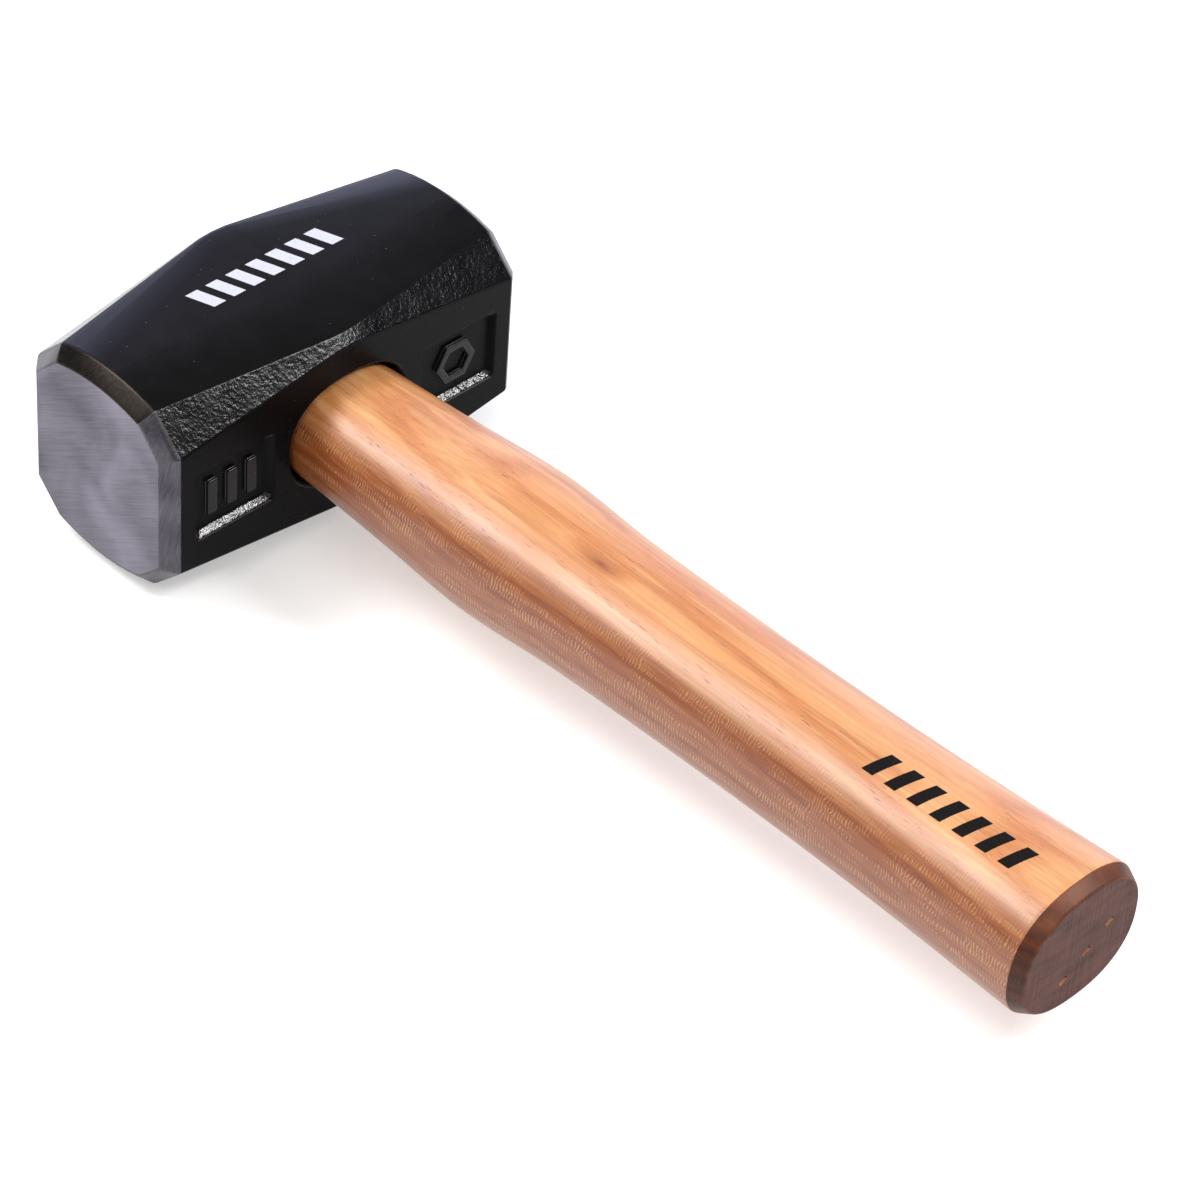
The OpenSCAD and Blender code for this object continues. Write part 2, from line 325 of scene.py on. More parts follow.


# %% [markdown]
# The tones go on one over another, as they would in a stain: early and late wood, brown and
# pale streaks, the knot, the pores, the rays of the narrow sides and the painted shade over
# them. A satin varnish over it all softens the grain and carries the highlight.

# %% Timber under a satin varnish
def hickory(name, tones, gloss, ripple, varnish):
    early, late, streak, pale, edge = (colour(tone) for tone in tones)
    mat, at = new_material(name)
    figures, knot, layer = growth_layers(mat, at)
    wood = add(mat, "ShaderNodeMix", {SHARE: layer, UNDER: early, OVER: late}, data_type="RGBA")
    streaks = (("streak", 0.5, 0.55, streak), ("pale streak", 0.56, 0.5, pale))
    for figure, low, most, tone in streaks:
        share = add(mat, "ShaderNodeMapRange", {
            "Value": figures[figure], "From Min": low, "From Max": 0.74, "To Max": most,
        })
        wood = add(mat, "ShaderNodeMix", {SHARE: share, UNDER: wood, OVER: tone}, data_type="RGBA")
    core = add(mat, "ShaderNodeMath", {0: knot, 1: 3.0}, operation="POWER")
    wood = add(mat, "ShaderNodeMix", {
        SHARE: core, UNDER: wood, OVER: colour("#7a3d1c"),
    }, data_type="RGBA")
    comb = add(mat, "ShaderNodeMapRange", {
        "Value": figures["fibre"], "From Min": 0.3, "From Max": 0.7, "To Min": 0.84, "To Max": 1.14,
    })
    combed = add(mat, "ShaderNodeVectorMath", {0: wood, "Scale": comb}, operation="SCALE")
    pit = add(mat, "ShaderNodeMapRange", {
        "Value": figures["pore"], "From Min": 0.62, "From Max": 0.72,
    })
    porous = add(mat, "ShaderNodeMapRange", {
        "Value": layer, "From Min": 0.2, "From Max": 0.8, "To Min": 0.25, "To Max": 0.7,
    })
    pores = add(mat, "ShaderNodeMath", {0: pit, 1: porous}, operation="MULTIPLY")
    wood = add(mat, "ShaderNodeMix", {
        SHARE: pores, UNDER: combed, OVER: colour("#6b3618"),
    }, data_type="RGBA")

    # Painted shade: faces that turn sideways, the narrow sides of the grip, are multiplied by the
    # last tone, so they come out a darker brown than the top. The rays below are grain, shown on
    # the same sides.
    facing = add(mat, "ShaderNodeNewGeometry", {}).outputs["True Normal"]
    sideways = add(mat, "ShaderNodeSeparateXYZ", {"Vector": facing}).outputs["Y"]
    either_side = add(mat, "ShaderNodeMath", {0: sideways}, operation="ABSOLUTE")
    edge_on = add(mat, "ShaderNodeMapRange", {
        "Value": either_side, "From Min": 0.35, "From Max": 0.9,
    })
    painted_side_shade = add(mat, "ShaderNodeMix", {
        SHARE: 1.0, UNDER: wood, OVER: edge,
    }, data_type="RGBA", blend_type="MULTIPLY")
    wood = add(mat, "ShaderNodeMix", {SHARE: edge_on, UNDER: wood, OVER: painted_side_shade}, data_type="RGBA")
    rays = add(mat, "ShaderNodeTexWave", {
        "Vector": at, "Scale": 0.36, "Distortion": 7.0, "Detail": 2.5, "Detail Scale": 1.2,
    }).outputs["Fac"]
    ray = add(mat, "ShaderNodeMapRange", {
        "Value": rays, "From Min": 0.62, "From Max": 0.95, "To Max": ripple,
    })
    patch = add(mat, "ShaderNodeMapRange", {
        "Value": figures["ray patch"], "From Min": 0.44, "From Max": 0.62,
    })
    where = add(mat, "ShaderNodeMath", {0: patch, 1: edge_on}, operation="MULTIPLY")
    rippled = add(mat, "ShaderNodeMath", {0: ray, 1: where}, operation="MULTIPLY")
    wood = add(mat, "ShaderNodeMix", {SHARE: rippled, UNDER: wood, OVER: pale}, data_type="RGBA")

    relief = add(mat, "ShaderNodeMath", {
        0: pores, 1: -1.5, 2: figures["fibre"],
    }, operation="MULTIPLY_ADD")
    bump = add(mat, "ShaderNodeBump", {"Height": relief, "Strength": 1.0, "Distance": 0.03 * MM})
    rough = add(mat, "ShaderNodeMapRange", {
        "Value": figures["fibre"], "From Min": 0.3, "From Max": 0.7,
        "To Min": gloss - 0.05, "To Max": gloss + 0.07,
    })
    surface_out(
        mat, Base_Color=wood, Roughness=rough, Normal=bump,
        Specular_IOR_Level=0.2 + varnish, Coat_Weight=varnish, Coat_Roughness=0.34,
    )
    return mat


# %% [markdown]
# The butt was cut across the fibres and only belt sanded. End grain drinks the stain, so it is
# the darkest part of the handle, with straight sanding lines over faint layers and open pores.

# %% Sanded end grain
SANDING_MM = (1, 0.45, 16)
SANDING_TURN = math.radians(14)
END_LAYER_MM = (1, 14, 3)
END_PORE_MM = 0.9


def sanded_end_grain(name, tones):
    dark, light = (colour(tone) for tone in tones)
    mat, at = new_material(name)
    lines_at = add(mat, "ShaderNodeMapping", {
        "Vector": at, "Rotation": (SANDING_TURN, 0, 0),
        "Scale": tuple(1 / mm for mm in SANDING_MM),
    })
    lines = add(mat, "ShaderNodeTexNoise", {"Vector": lines_at, "Scale": 1.0, "Detail": 3.0})
    layers_at = add(mat, "ShaderNodeMapping", {
        "Vector": at, "Scale": tuple(1 / mm for mm in END_LAYER_MM),
    })
    layers = add(mat, "ShaderNodeTexNoise", {"Vector": layers_at, "Scale": 1.0, "Detail": 2.0})
    both = add(mat, "ShaderNodeMath", {0: lines, 1: layers}, operation="ADD")
    share = add(mat, "ShaderNodeMapRange", {"Value": both, "From Min": 0.75, "From Max": 1.25})
    tone = add(mat, "ShaderNodeMix", {SHARE: share, UNDER: dark, OVER: light}, data_type="RGBA")
    pore = add(mat, "ShaderNodeTexVoronoi", {"Vector": at, "Scale": 1 / END_PORE_MM})
    hole = add(mat, "ShaderNodeMapRange", {
        "Value": pore, "From Min": 0.16, "From Max": 0.24, "To Min": 0.5, "To Max": 0.0,
    })
    pitted = add(mat, "ShaderNodeMix", {
        SHARE: hole, UNDER: tone, OVER: colour("#1c0f0b"),
    }, data_type="RGBA")
    bump = add(mat, "ShaderNodeBump", {"Height": lines, "Strength": 1.0, "Distance": 0.05 * MM})
    surface_out(mat, Base_Color=pitted, Roughness=0.6, Specular_IOR_Level=0.2, Normal=bump)
    return mat


# %% [markdown]
# ### Ink
# Screen ink is matt and opaque. Under a lens it is never even: the mesh of the screen and the
# grain beneath leave pinholes, and handling rubs it thin.

# %% Ink with worn spots
PINHOLE_MM = 0.5


def ink(name, solid, worn, gloss, wear):
    mat, at = new_material(name)
    pits = add(mat, "ShaderNodeTexNoise", {
        "Vector": at, "Scale": 1 / PINHOLE_MM, "Detail": 3.0, "Roughness": 0.7,
    })
    thin = add(mat, "ShaderNodeMapRange", {
        "Value": pits, "From Min": 0.56, "From Max": 0.72, "To Max": wear,
    })
    tone = add(mat, "ShaderNodeMix", {
        SHARE: thin, UNDER: colour(solid), OVER: colour(worn),
    }, data_type="RGBA")
    bump = add(mat, "ShaderNodeBump", {"Height": pits, "Strength": 1.0, "Distance": 0.02 * MM})
    rough = add(mat, "ShaderNodeMapRange", {
        "Value": pits, "To Min": gloss - 0.1, "To Max": gloss + 0.1,
    })
    surface_out(mat, Base_Color=tone, Roughness=rough, Specular_IOR_Level=0.12, Normal=bump)
    return mat


# %% [markdown]
# ## The forged blank
# The head starts as a hot bar and ends as an eight-sided block with crowned cheeks. A block
# like this can be extruded, sculpted or cut. Cutting suits it best: every surface is a flat
# or a shallow curve, so grinding a cube away with one plane at a time gives exact corners.
# A section is described by its reach, which is how far it extends in each direction: a crown,
# a corner chamfer and a side, with soft edges between them. The forging is fullest round the
# eye, so each plane climbs from the reach at the faces to the reach at the eye.

# %% Grind away everything beyond a plane
def grind(bm, normal, point):
    everything = bm.verts[:] + bm.edges[:] + bm.faces[:]
    made = bmesh.ops.bisect_plane(
        bm, geom=everything, plane_co=point, plane_no=normal, clear_outer=True, dist=1e-4
    )
    rim = [g for g in made["geom_cut"] if isinstance(g, bmesh.types.BMEdge)]
    if rim:
        bmesh.ops.edgeloop_fill(bm, edges=rim)


# %% The section's reach in each direction, at the faces and round the eye
FACE_BEVEL = 3.3
HALF_SPAN = HALF_L - FACE_BEVEL
SOFT_EDGE = 1.3
# Radius of the crown, and distance from the middle to the chamfers: the same all round at the
# faces, but at the eye one pair towards the handle (1) and another towards the top (-1)
AT_FACES = (53.0, 42.42)
AT_EYE = {1: (118.0, 49.4), -1: (700.0, 52.6)}


def reach(degrees, crown_r, chamfer):
    a = math.radians(abs(degrees))
    line = chamfer - math.sqrt(2) * SOFT_EDGE
    k = line - HALF_W + crown_r
    x = (k - math.sqrt(2 * (crown_r - SOFT_EDGE) ** 2 - k**2)) / 2
    if math.sin(a) < x / (crown_r - SOFT_EDGE):
        return crown_r + (HALF_W - crown_r) * math.cos(a)
    if abs(degrees) > 45:
        x = HALF_H - SOFT_EDGE
    return SOFT_EDGE + x * math.sin(a) + (line - x) * math.cos(a)


# %% Cut the block, plane by plane, and then bevel and deburr its two ends
TURN_STEP = 4.5
QUARTER = round(90 / TURN_STEP)
BLEND = 6.0
BURR = 0.16
STEEP = 0.414  # the tangent of 22.5 degrees, half way between a side and a bevel
block = bmesh.new()
bmesh.ops.create_cube(block, size=2)
bmesh.ops.scale(block, vec=(HALF_H + 1, HALF_L, HALF_W + 1), verts=block.verts)
for step in range(-QUARTER, QUARTER + 1):
    degrees = step * TURN_STEP
    turned = math.radians(degrees)
    faces = reach(degrees, *AT_FACES)
    eye = reach(degrees, *AT_EYE[1 if degrees > 0 else -1])
    climb = (eye - faces) / HALF_SPAN
    for side in (-1, 1):
        out = Vector((math.sin(turned), 0, side * math.cos(turned)))
        for share in (-1, -0.33, 0.33, 1):
            here = eye - climb * BLEND * (1 + share**2) / 2
            tipped = out + Vector((0, share * climb, 0))
            grind(block, tipped, here * out + Vector((0, BLEND * share, 0)))
        for end in (-1, 1):
            along = Vector((0, end, 0))
            corner = faces * out + HALF_SPAN * along
            grind(block, out + along, corner)
            grind(block, out + STEEP * along, corner - BURR * out)
            grind(block, STEEP * out + along, (faces - FACE_BEVEL) * out + (HALF_L - BURR) * along)
for y in (-BLEND, BLEND):
    everything = block.verts[:] + block.edges[:] + block.faces[:]
    bmesh.ops.bisect_plane(block, geom=everything, plane_co=(0, y, 0), plane_no=(0, 1, 0))
print("ground block:", len(block.faces), "faces")

# %% [markdown]
# The dip leaves four kinds of film: level on the cheeks, pebbled on the corners, thin on the
# narrow sides and pooled, bright as glass, on the ledges of the panels. The faces are bare
# ground steel. Of their bevels, some are fresh from the file and grey, and the two under the
# cheeks are blued, which looks almost black. The object gets all of its finishes before it is
# cut, because a boolean sorts the faces that it makes by the finishes that both objects have.

# %% The head's finishes, in the order that its faces number them
CHEEK, CORNER, SIDE, PANEL_WALL, FACE, GROUND_BEVEL, DARK_BEVEL = range(7)
HEAD_FINISHES = (
    # name, size and height of its pebbles in mm, roughness, and strength of its reflection
    enamel("dipped_black_enamel", 1.6, 0.012, 0.2, 0.22),
    enamel("pebbled_black_enamel", 1.1, 0.13, 0.15, 0.22),
    enamel("thin_black_enamel", 1.8, 0.02, 0.26, 0.05),
    enamel("pooled_black_enamel", 1.2, 0.25, 0.12, 0.6),
    # name, tones, direction of its lines in degrees, their spacing and depth in mm, roughness
    ground_steel("belt_ground_steel_face", ("#4f4c56", "#86838f"), (0, 32, 0), 0.35, 0.02, 0.42),
    ground_steel("file_cut_steel_bevel", ("#37353b", "#6b6970"), (0, 80, 0), 0.3, 0.05, 0.38),
    ground_steel("blued_steel_bevel", ("#191718", "#39342f"), (0, 70, 0), 0.4, 0.05, 0.35),
)
print("head finishes:", [finish.name for finish in HEAD_FINISHES])

# %% Sort the surfaces
for f in block.faces:
    f.normal_update()
    n = f.normal
    if abs(n.y) > 0.95:
        f.material_index = FACE
    elif abs(n.y) > 0.3:
        f.material_index = DARK_BEVEL if abs(n.z) > 0.86 * math.hypot(n.x, n.z) else GROUND_BEVEL
    elif min(abs(n.x), abs(n.z)) > 0.55:
        f.material_index = CORNER
    elif abs(n.x) > 0.95:
        f.material_index = SIDE
    f.smooth = True
head = to_object(block, "forged_head", HEAD_FINISHES)
print("sorted block:", len(head.data.polygons), "faces")

# %% [markdown]
# ## The eye
# The eye is an oval hole, narrowest in the middle. Its mouth is a little larger than the
# handle, which leaves the dark line round the neck, and its lip is rounded by the punch.
# It is cut with a lofted cutter whose last sections follow that rounding.

# %% Punch the eye
EYE_Y = 15.6
EYE_Z = 12.5
EYE_FLARE = 1.5
SEAT_X = 14.0
SEAT_GROW = 0.6
NECK_A = 16.9
NECK_RATIO = 0.82
MOUTH_GAP = 1.0
LIP = 1.2
LIP_TURNS = (0, 25, 50, 70)
LIP_CLEAR = 1.6  # how far past its rounding the cutter keeps growing, as a share of it


def lip_stations(x, a, b, outward):
    rounding = []
    for degrees in LIP_TURNS:
        turn = math.radians(degrees)
        grow = LIP * (1 - math.cos(turn))
        rounding.append((x - outward * LIP * (1 - math.sin(turn)), a + grow, b + grow, 0, 0))
    grown = LIP * LIP_CLEAR
    rounding.append((x + outward * LIP, a + grown, b + grown, 0, 0))
    return rounding if outward > 0 else rounding[::-1]


neck_b = NECK_A * NECK_RATIO
eye = lip_stations(-HALF_H, EYE_Y + EYE_FLARE / 2, EYE_Z + EYE_FLARE, -1)
eye += [(0, EYE_Y, EYE_Z, 0, 0), (SEAT_X, EYE_Y + SEAT_GROW, EYE_Z + SEAT_GROW, 0, 0)]
eye += lip_stations(HALF_H, NECK_A + MOUTH_GAP, neck_b + MOUTH_GAP, 1)
cut(head, to_object(loft(eye), "eye_cutter", HEAD_FINISHES))
print("head with its eye:", len(head.data.polygons), "faces")

# %% [markdown]
# ## The panels
# Each narrow side carries two shallow recesses from the die, with sloping walls so that the
# forging could leave it. On the handle side one holds three raised bars and the other a raised
# six-sided ring. A tapered box makes the recess, and the marks are cut out of that box first,
# so the same cut leaves them standing on the recess floor.

# %% Round some edges
def round_edges(bm, edges, offset, segments):
    bmesh.ops.bevel(
        bm, geom=edges, offset=offset, affect="EDGES", segments=segments, profile=0.5,
        material=-1, clamp_overlap=True,
    )


# %% Build a panel cutter, with its corners, floor and rim softened
PANEL_L = 24.2
PANEL_W = 20.0
PANEL_Y = 35.2
PANEL_D = 2.0
PANEL_DRAFT = 1.4
PANEL_CORNER = 1.3
FLOOR_EDGE = 0.5
RIM_DEPTH = 0.4
RIM_GROW = 1.2
MARK_H = 1.2


def panel_cutter(side, end):
    bm = bmesh.new()
    bmesh.ops.create_cube(bm, size=2)
    for v in bm.verts:
        grow = PANEL_DRAFT if v.co.x > 0 else -PANEL_DRAFT
        v.co.x *= PANEL_D
        v.co.y *= PANEL_L / 2 + grow
        v.co.z *= PANEL_W / 2 + grow
    upright = [e for e in bm.edges if abs(e.verts[0].co.x - e.verts[1].co.x) > PANEL_D]
    round_edges(bm, upright, PANEL_CORNER, 5)
    floor = [e for e in bm.edges if all(v.co.x < -PANEL_D * 0.99 for v in e.verts)]
    round_edges(bm, floor, FLOOR_EDGE, 3)
    everything = bm.verts[:] + bm.edges[:] + bm.faces[:]
    bmesh.ops.bisect_plane(bm, geom=everything, plane_co=(-RIM_DEPTH, 0, 0), plane_no=(1, 0, 0))
    for v in bm.verts:
        if v.co.x > 0:
            v.co.y += math.copysign(RIM_GROW, v.co.y)
            v.co.z += math.copysign(RIM_GROW, v.co.z)
    bmesh.ops.translate(bm, vec=(HALF_H, end * PANEL_Y, 0), verts=bm.verts)
    if side < 0:
        about = Matrix.Rotation(math.pi, 3, "Z")
        bmesh.ops.rotate(bm, cent=(0, 0, 0), matrix=about, verts=bm.verts)
    for f in bm.faces:
        f.smooth = True
        f.normal_update()
        f.material_index = PANEL_WALL if abs(f.normal.z) > 0.5 else SIDE
    return to_object(bm, "panel_cutter", HEAD_FINISHES)


# %% The raised marks, as tools that spare metal from the panel cut
BAR = (3.0, 10.0)
BAR_PITCH = 6.0
BAR_EDGE = 0.45
RING_R = 6.5
RING_T = 2.5
RING_EDGE = 0.4
MARK_TOP = HALF_H - PANEL_D + MARK_H


def bar_tool(y):
    bm = bmesh.new()
    bmesh.ops.create_cube(bm, size=1)
    bmesh.ops.scale(bm, vec=(PANEL_D, *BAR), verts=bm.verts)
    bmesh.ops.translate(bm, vec=(MARK_TOP - PANEL_D / 2, y, 0), verts=bm.verts)
    round_edges(bm, bm.edges[:], BAR_EDGE, 3)
    return to_object(bm, "bar_tool", HEAD_FINISHES)


def ring_tool(y):
    bm = bmesh.new()
    for radius in (RING_R, RING_R - RING_T):
        bmesh.ops.create_circle(bm, cap_ends=False, segments=6, radius=radius)
    flat = bmesh.ops.bridge_loops(bm, edges=bm.edges[:])["faces"]
    walls = bmesh.ops.extrude_face_region(bm, geom=flat)["geom"]
    risen = [g for g in walls if isinstance(g, bmesh.types.BMVert)]
    bmesh.ops.translate(bm, vec=(0, 0, PANEL_D), verts=risen)
    round_edges(bm, [e for e in bm.edges if e.calc_face_angle(0) > 1], RING_EDGE, 2)
    top = max(v.co.z for v in bm.verts)
    bmesh.ops.translate(bm, vec=(0, 0, -top), verts=bm.verts)
    on_its_side = Matrix.Rotation(math.pi / 2, 3, "Y")
    bmesh.ops.rotate(bm, cent=(0, 0, 0), matrix=on_its_side, verts=bm.verts)
    bmesh.ops.translate(bm, vec=(MARK_TOP, y, 0), verts=bm.verts)
    return to_object(bm, "ring_tool", HEAD_FINISHES)


near_cutter = panel_cutter(1, -1)
cut(near_cutter, *[bar_tool(-PANEL_Y + k * BAR_PITCH) for k in (-1, 0, 1)])
far_cutter = panel_cutter(1, 1)
cut(far_cutter, ring_tool(PANEL_Y))
cut(head, near_cutter, far_cutter, panel_cutter(-1, 1), panel_cutter(-1, -1))
print("head with its eye and panels:", len(head.data.polygons), "faces")

# %% Even out the shading across the flats
flatten = head.modifiers.new("flats", "WEIGHTED_NORMAL")
flatten.keep_sharp = False
flatten.weight = 90

# %% Take the CAD head's place
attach(head, "root")
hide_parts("head")

# %% [markdown]
# ## The handle
# The handle is turned and sanded from one billet: a tenon that fills the eye, a neck, a swell
# that the hand meets when it slides up, a slimmer waist and a flared butt. A smooth curve
# through a few widths, lofted with oval sections, gives the same flowing outline.

# %% The outline of the grip
SWELL_A = 19.8
WAIST_A = 17.6
BUTT_A = 19.9
GRIP_RATIO = 0.88
LEAN_Y = 1.2
LEAN_Z = 2.2
BUTT_RUN = REACH - HALF_H
WIDTHS = (
    (0, NECK_A),
    (0.12, NECK_A + 0.44 * (SWELL_A - NECK_A)),
    (0.25, SWELL_A),
    (0.375, WAIST_A + 0.3 * (SWELL_A - WAIST_A)),
    (0.6, WAIST_A),
    (0.8, WAIST_A + 0.25 * (BUTT_A - WAIST_A)),
    (1, BUTT_A),
)


def slope(knots, i):
    before = knots[max(i - 1, 0)]
    after = knots[min(i + 1, len(knots) - 1)]
    return (after[1] - before[1]) / (after[0] - before[0])


def curve(knots, t):
    i = 0
    while i < len(knots) - 2 and t > knots[i + 1][0]:
        i += 1
    span = knots[i + 1][0] - knots[i][0]
    u = (t - knots[i][0]) / span
    v = 1 - u
    ends = knots[i][1] * v * v * (1 + 2 * u) + knots[i + 1][1] * u * u * (1 + 2 * v)
    return ends + slope(knots, i) * span * u * v * v - slope(knots, i + 1) * span * u * u * v


def grip_station(t, drawn_in=0.0):
    a = curve(WIDTHS, t)
    ratio = NECK_RATIO + (GRIP_RATIO - NECK_RATIO) * min(1, 2 * t)
    return (HALF_H + t * BUTT_RUN, a - drawn_in, a * ratio - drawn_in, LEAN_Y * t, LEAN_Z * t)


print("half widths, mm:", [round(curve(WIDTHS, t / 4), 1) for t in range(5)])

# %% [markdown]
# The grip is varnished. The butt's end and the chamfer round it were cut after the varnish, or
# lost it in handling, so they are dull and darker. All three finishes are the same timber.

# %% Loft the handle, and round the two edges of the butt's chamfer
GRIP_RINGS = 110
BUTT_CHAMFER_L = 3.7
BUTT_CHAMFER_D = 2.0
CHAMFER_EDGE = 0.55
chamfer_t = 1 - BUTT_CHAMFER_L / BUTT_RUN
flare = (TENON_TOP + HALF_H) / HALF_H
stations = [
    (TENON_TOP, EYE_Y + EYE_FLARE / 2 * (1 - flare), EYE_Z + EYE_FLARE * (1 - flare), 0, 0),
    (0, EYE_Y, EYE_Z, 0, 0),
    (SEAT_X, EYE_Y + SEAT_GROW, EYE_Z + SEAT_GROW, 0, 0),
]
stations += [grip_station(chamfer_t * k / (GRIP_RINGS - 1)) for k in range(GRIP_RINGS)]
stations.append(grip_station(1, BUTT_CHAMFER_D))
turning = loft(stations)
TIMBER, END_GRAIN, CHAMFER = range(3)
# The last tone in each set is a painted shade, multiplied over the faces that turn sideways.
GRIP_TONES = ("#c68e5c", "#b67542", "#9c5630", "#d8ac7c", "#b28a64")
CHAMFER_TONES = ("#66361a", "#532812", "#3d2010", "#6b4024", "#b0a098")
HANDLE_FINISHES = (
    # name, tones, roughness, strength of the rays, and weight of the varnish
    hickory("varnished_hickory", GRIP_TONES, 0.4, 0.45, 0.42),
    sanded_end_grain("sanded_end_grain", ("#40251f", "#5f3c35")),
    hickory("hickory_cut_chamfer", CHAMFER_TONES, 0.5, 0.2, 0.05),
)
chamfer_x = stations[-2][0]
for f in turning.faces:
    f.smooth = True
    middle = f.calc_center_median().x
    if middle > REACH - 0.01 or middle < TENON_TOP + 0.01:
        f.material_index = END_GRAIN
    elif middle > chamfer_x:
        f.material_index = CHAMFER
sharp = [e for e in turning.edges if e.calc_face_angle(0) > math.radians(20)]
round_edges(turning, [e for e in sharp if e.verts[0].co.x > chamfer_x - 1], CHAMFER_EDGE, 3)
for f in turning.faces:
    f.smooth = True
handle = to_object(turning, "turned_handle", HANDLE_FINISHES)
print("handle:", len(handle.data.polygons), "faces")

# %% [markdown]
# ## Kerf, wedges and lathe marks
# The tenon was sawn, and wedges were driven into the saw cut until it filled the flared eye.
# The CAD wedges are the right shape already, so they stay and only get a finish. A tapered box
# saws the kerf, and welded copies of the steel wedges cut their own seats across it, all a
# little proud of the end so that no cut ends exactly on a face. The butt keeps three small
# nicks, from the spurs that drove the billet in the lathe.

# %% Saw the kerf, and seat the steel wedges across it
WEDGES = ("timber_wedge", "steel_wedge_near", "steel_wedge_far")
KERF_TIP = 0.8
KERF_PAST_EYE = 2
CUT_PROUD = 0.4


def kerf_cutter():
    low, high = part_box("timber_wedge")
    bm = bmesh.new()
    bmesh.ops.create_cube(bm, size=2)
    for v in bm.verts:
        at_top = v.co.x < 0
        v.co.x = TENON_TOP - CUT_PROUD if at_top else high.x / MM
        v.co.y *= EYE_Y + KERF_PAST_EYE
        v.co.z *= (high.z - low.z) / 2 / MM if at_top else KERF_TIP / 2
    for f in bm.faces:
        f.material_index = CHAMFER
    return to_object(bm, "kerf_cutter", HANDLE_FINISHES)


def seat_cutter(node):
    bm = bmesh.new()
    bm.from_mesh(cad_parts[node].data)
    bmesh.ops.remove_doubles(bm, verts=bm.verts, dist=1e-6)
    bmesh.ops.translate(bm, vec=-MID, verts=bm.verts)
    bmesh.ops.scale(bm, vec=(1 / MM, 1 / MM, 1 / MM), verts=bm.verts)
    for v in bm.verts:
        if v.co.x < TENON_TOP + 0.01:
            v.co.x -= CUT_PROUD
    for f in bm.faces:
        f.material_index = CHAMFER
    return to_object(bm, "seat_cutter", HANDLE_FINISHES)


cut(handle, kerf_cutter(), *[seat_cutter(node) for node in WEDGES[1:]])
print("handle with its kerf and seats:", len(handle.data.polygons), "faces")

# %% Nick the butt
NICK = (1.5, 3.0, 2.0)  # depth, and length and width where the cutter is widest
NICK_TAPER = (0.6, 0.5)
NICK_EDGE = 0.3
NICK_PITCH = 8.0
NICK_TURN = 35
NICK_Y = 3.1
NICK_Z = -0.4


def nick_cutter(k):
    bm = bmesh.new()
    bmesh.ops.create_cube(bm, size=1)
    bmesh.ops.scale(bm, vec=(2 * NICK[0], NICK[1], NICK[2]), verts=bm.verts)
    for v in bm.verts:
        if v.co.x < 0:
            v.co.y *= NICK_TAPER[0]
            v.co.z *= NICK_TAPER[1]
    inward = [e for e in bm.edges if abs(e.verts[0].co.x - e.verts[1].co.x) > 1]
    round_edges(bm, inward, NICK_EDGE, 3)
    bmesh.ops.translate(bm, vec=(0, k * NICK_PITCH, 0), verts=bm.verts)
    turn = Matrix.Rotation(math.radians(NICK_TURN), 3, "X")
    bmesh.ops.rotate(bm, cent=(0, 0, 0), matrix=turn, verts=bm.verts)
    bmesh.ops.translate(bm, vec=(REACH, NICK_Y, NICK_Z), verts=bm.verts)
    for f in bm.faces:
        f.normal_update()
        f.material_index = TIMBER if f.normal.z < -0.5 else CHAMFER
    return to_object(bm, "nick_cutter", HANDLE_FINISHES)


cut(handle, *[nick_cutter(k) for k in (-1, 0, 1)])
smooth_grip = handle.modifiers.new("flats", "WEIGHTED_NORMAL")
smooth_grip.keep_sharp = False
smooth_grip.weight = 80
print("handle with its nicks:", len(handle.data.polygons), "faces")

# %% [markdown]
# The wedges show only their driven ends. The timber one is pale beech, which never saw the
# stain or the varnish, and the two steel ones are sheared from strip and hammered flush.

# %% Take the CAD handle's place, and give the wedges their finishes
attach(handle, "root")
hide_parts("handle")
BEECH_TONES = ("#d0ab80", "#bd9468", "#a1774e", "#d8bc94", "#c8beb4")
beech = hickory("pale_beech_wedge", BEECH_TONES, 0.6, 0.2, 0.0)
strip = ground_steel("sheared_steel_wedge", ("#5c5a5c", "#8d8b8c"), (0, 0, 90), 0.5, 0.04, 0.45)
for node, finish in zip(WEDGES, (beech, strip, strip)):
    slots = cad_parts[node].data.materials
    slots.clear()
    slots.append(finish)
    print(node, "is finished as", finish.name)

# %% [markdown]
# ## Printed marks
# One cheek carries a white screen print and the grip a black one. Both are replaced here with
# plain slanted bars. Ink could be a colour inside the material, but a print is a film with its
# own gloss and its own crisp edge, so each bar is a thin sheet laid on the surface beneath it.

# %% Lay slanted bars on a surface
INK_FILM = 0.04
CHEEK_PRINT_X = -5.0
GRIP_PRINT_AT = (217.6, -3.0)


def print_bars(name, count, pitch, size, slant, place, surface):
    bm = bmesh.new()
    for k in range(count):
        bar = bmesh.ops.create_grid(bm, x_segments=8, y_segments=12, size=0.5)["verts"]
        for v in bar:
            across = v.co.y * size[1]
            along = (k - (count - 1) / 2) * pitch + v.co.x * size[0] + slant * across
            x, y = place(along, across)
            v.co = (x, y, surface(x, y) + INK_FILM)
    bmesh.ops.solidify(bm, geom=bm.faces[:], thickness=INK_FILM)
    return to_object(bm, name)


def grip_top(x, y):
    _, a, b, mid_y, mid_z = grip_station((x - HALF_H) / BUTT_RUN)
    return mid_z + b * (1 - abs((y - mid_y) / a) ** SECTION_N) ** (1 / SECTION_N)


CROWN_STEPS = 6  # how many of the planes on either side of the crest can lie under a print


def cheek_height(x, y):
    share = abs(y) / HALF_SPAN
    lowest = HALF_W
    for step in range(-CROWN_STEPS, CROWN_STEPS + 1):
        degrees = step * TURN_STEP
        eye = reach(degrees, *AT_EYE[1 if degrees > 0 else -1])
        here = eye + share * (reach(degrees, *AT_FACES) - eye)
        a = math.radians(degrees)
        lowest = min(lowest, (here - x * math.sin(a)) / math.cos(a))
    return lowest


